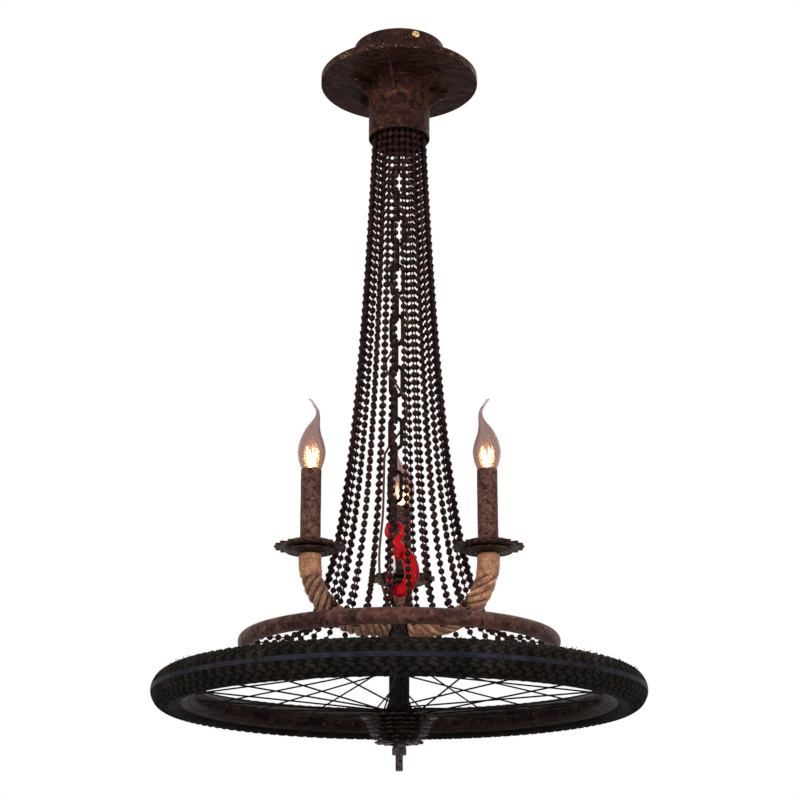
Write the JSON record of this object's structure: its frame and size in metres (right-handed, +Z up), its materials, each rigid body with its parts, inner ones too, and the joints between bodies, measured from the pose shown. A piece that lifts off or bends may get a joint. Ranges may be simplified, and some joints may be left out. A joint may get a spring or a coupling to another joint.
{
  "type": "bicycle wheel pendant light",
  "caption": "Pendant light with a canopy, bead-chain strands to a ring, rope-wrapped arms with bent-tip candle bulbs, a hook and chain, and a bicycle wheel below.",
  "frame": {"origin": "on the ceiling plane at the canopy axis, between the two ceiling screws", "axes": "+Z up along the suspension axis; -Y is the front; +X is to the right seen from the front"},
  "size_m": [0.603, 0.603, 0.972],
  "materials": {
    "bare_steel": "bare machined steel",
    "zinc_plate": "bright zinc plate",
    "brass": "turned brass",
    "canopy_rust": "dark rust brown finish",
    "white_plastic": "moulded white",
    "dark_steel": "dark aged finish",
    "cable_cloth": "brown cloth braid",
    "bead_rust": "dark rust brown finish",
    "ring_rust": "mottled rust brown finish",
    "red_paint": "glossy red enamel",
    "hemp_rope": "laid natural fibre",
    "pan_rust": "dark rust brown finish",
    "sleeve_rust": "rust brown finish",
    "bulb_glass": "clear blown glass",
    "glowing_filament": "lit filament on its stem",
    "axle_steel": "worn steel",
    "hub_steel": "dark aged steel",
    "spoke_steel": "blackened wire",
    "nipple_brass": "tarnished brass",
    "rim_rust": "rust brown finish",
    "tube_rubber": "butyl rubber",
    "tyre_rubber": "moulded tread rubber",
    "cog_rust": "worn rust brown finish"
  },
  "bodies": {
    "fixture": {"ceiling_crossbar": "bare_steel", "side_screws": "brass", "canopy_cup": "canopy_rust", "flange_pan": "canopy_rust", "neck_tube": "canopy_rust", "gussets": "canopy_rust", "canopy_fasteners": "bare_steel", "terminal_block": "white_plastic", "strand_plate": "dark_steel", "hanger_bolt": "dark_steel", "suspension_chain": "dark_steel", "supply_cable": "cable_cloth", "strands_front": "bead_rust", "strands_right": "bead_rust", "strands_left": "bead_rust", "ring_tube": "ring_rust", "hook_body": "red_paint", "latch_pin": "bare_steel", "latch_spring": "bare_steel", "eye_bolt": "dark_steel", "center_post": "dark_steel", "arm_tube_left": "dark_steel", "arm_tube_right": "dark_steel", "arm_tube_back": "dark_steel", "arm_rope_left": "hemp_rope", "arm_rope_right": "hemp_rope", "arm_rope_back": "hemp_rope", "rope_whippings": "hemp_rope", "pan_discs": "pan_rust", "pan_sprocket_left": "pan_rust", "pan_sprocket_right": "pan_rust", "pan_sprocket_back": "pan_rust", "pan_rings": "pan_rust", "holder_pipes": "brass", "holder_nuts": "brass", "lampholders": "white_plastic", "sleeve_left": "sleeve_rust", "sleeve_right": "sleeve_rust", "sleeve_back": "sleeve_rust", "bulb_caps": "brass", "bulb_glass_left": "bulb_glass", "bulb_glass_right": "bulb_glass", "bulb_glass_back": "bulb_glass", "bulb_filaments": "glowing_filament", "axle": "axle_steel", "hub_cones": "axle_steel", "axle_hardware": "axle_steel"},
    "hook_latch": {"hook_latch": "zinc_plate"},
    "wheel": {"tyre": "tyre_rubber", "inner_tube": "tube_rubber", "rim": "rim_rust", "spokes": "spoke_steel", "spoke_elbows": "spoke_steel", "spoke_nipples": "nipple_brass", "hub_shell": "hub_steel", "hub_balls": "axle_steel", "freewheel_core": "axle_steel"},
    "freewheel": {"freewheel_body": "hub_steel", "freewheel_cogs": "cog_rust"}
  },
  "joints": [
    {"name": "wheel_spin", "type": "hinge", "parent": "fixture", "child": "wheel", "pos_m": [0, 0, -0.88], "axis": [0, 0, 1], "continuous": true},
    {"name": "freewheel_spin", "type": "hinge", "parent": "wheel", "child": "freewheel", "pos_m": [0, 0, -0.92], "axis": [0, 0, 1], "continuous": true},
    {"name": "latch_swing", "type": "hinge", "parent": "fixture", "child": "hook_latch", "pos_m": [-0.0015, 0, -0.7047], "axis": [0, -1, 0], "range_deg": [0, 28], "stiffness_Nm_per_rad": 0.02, "springref_deg": -28.65}
  ]
}
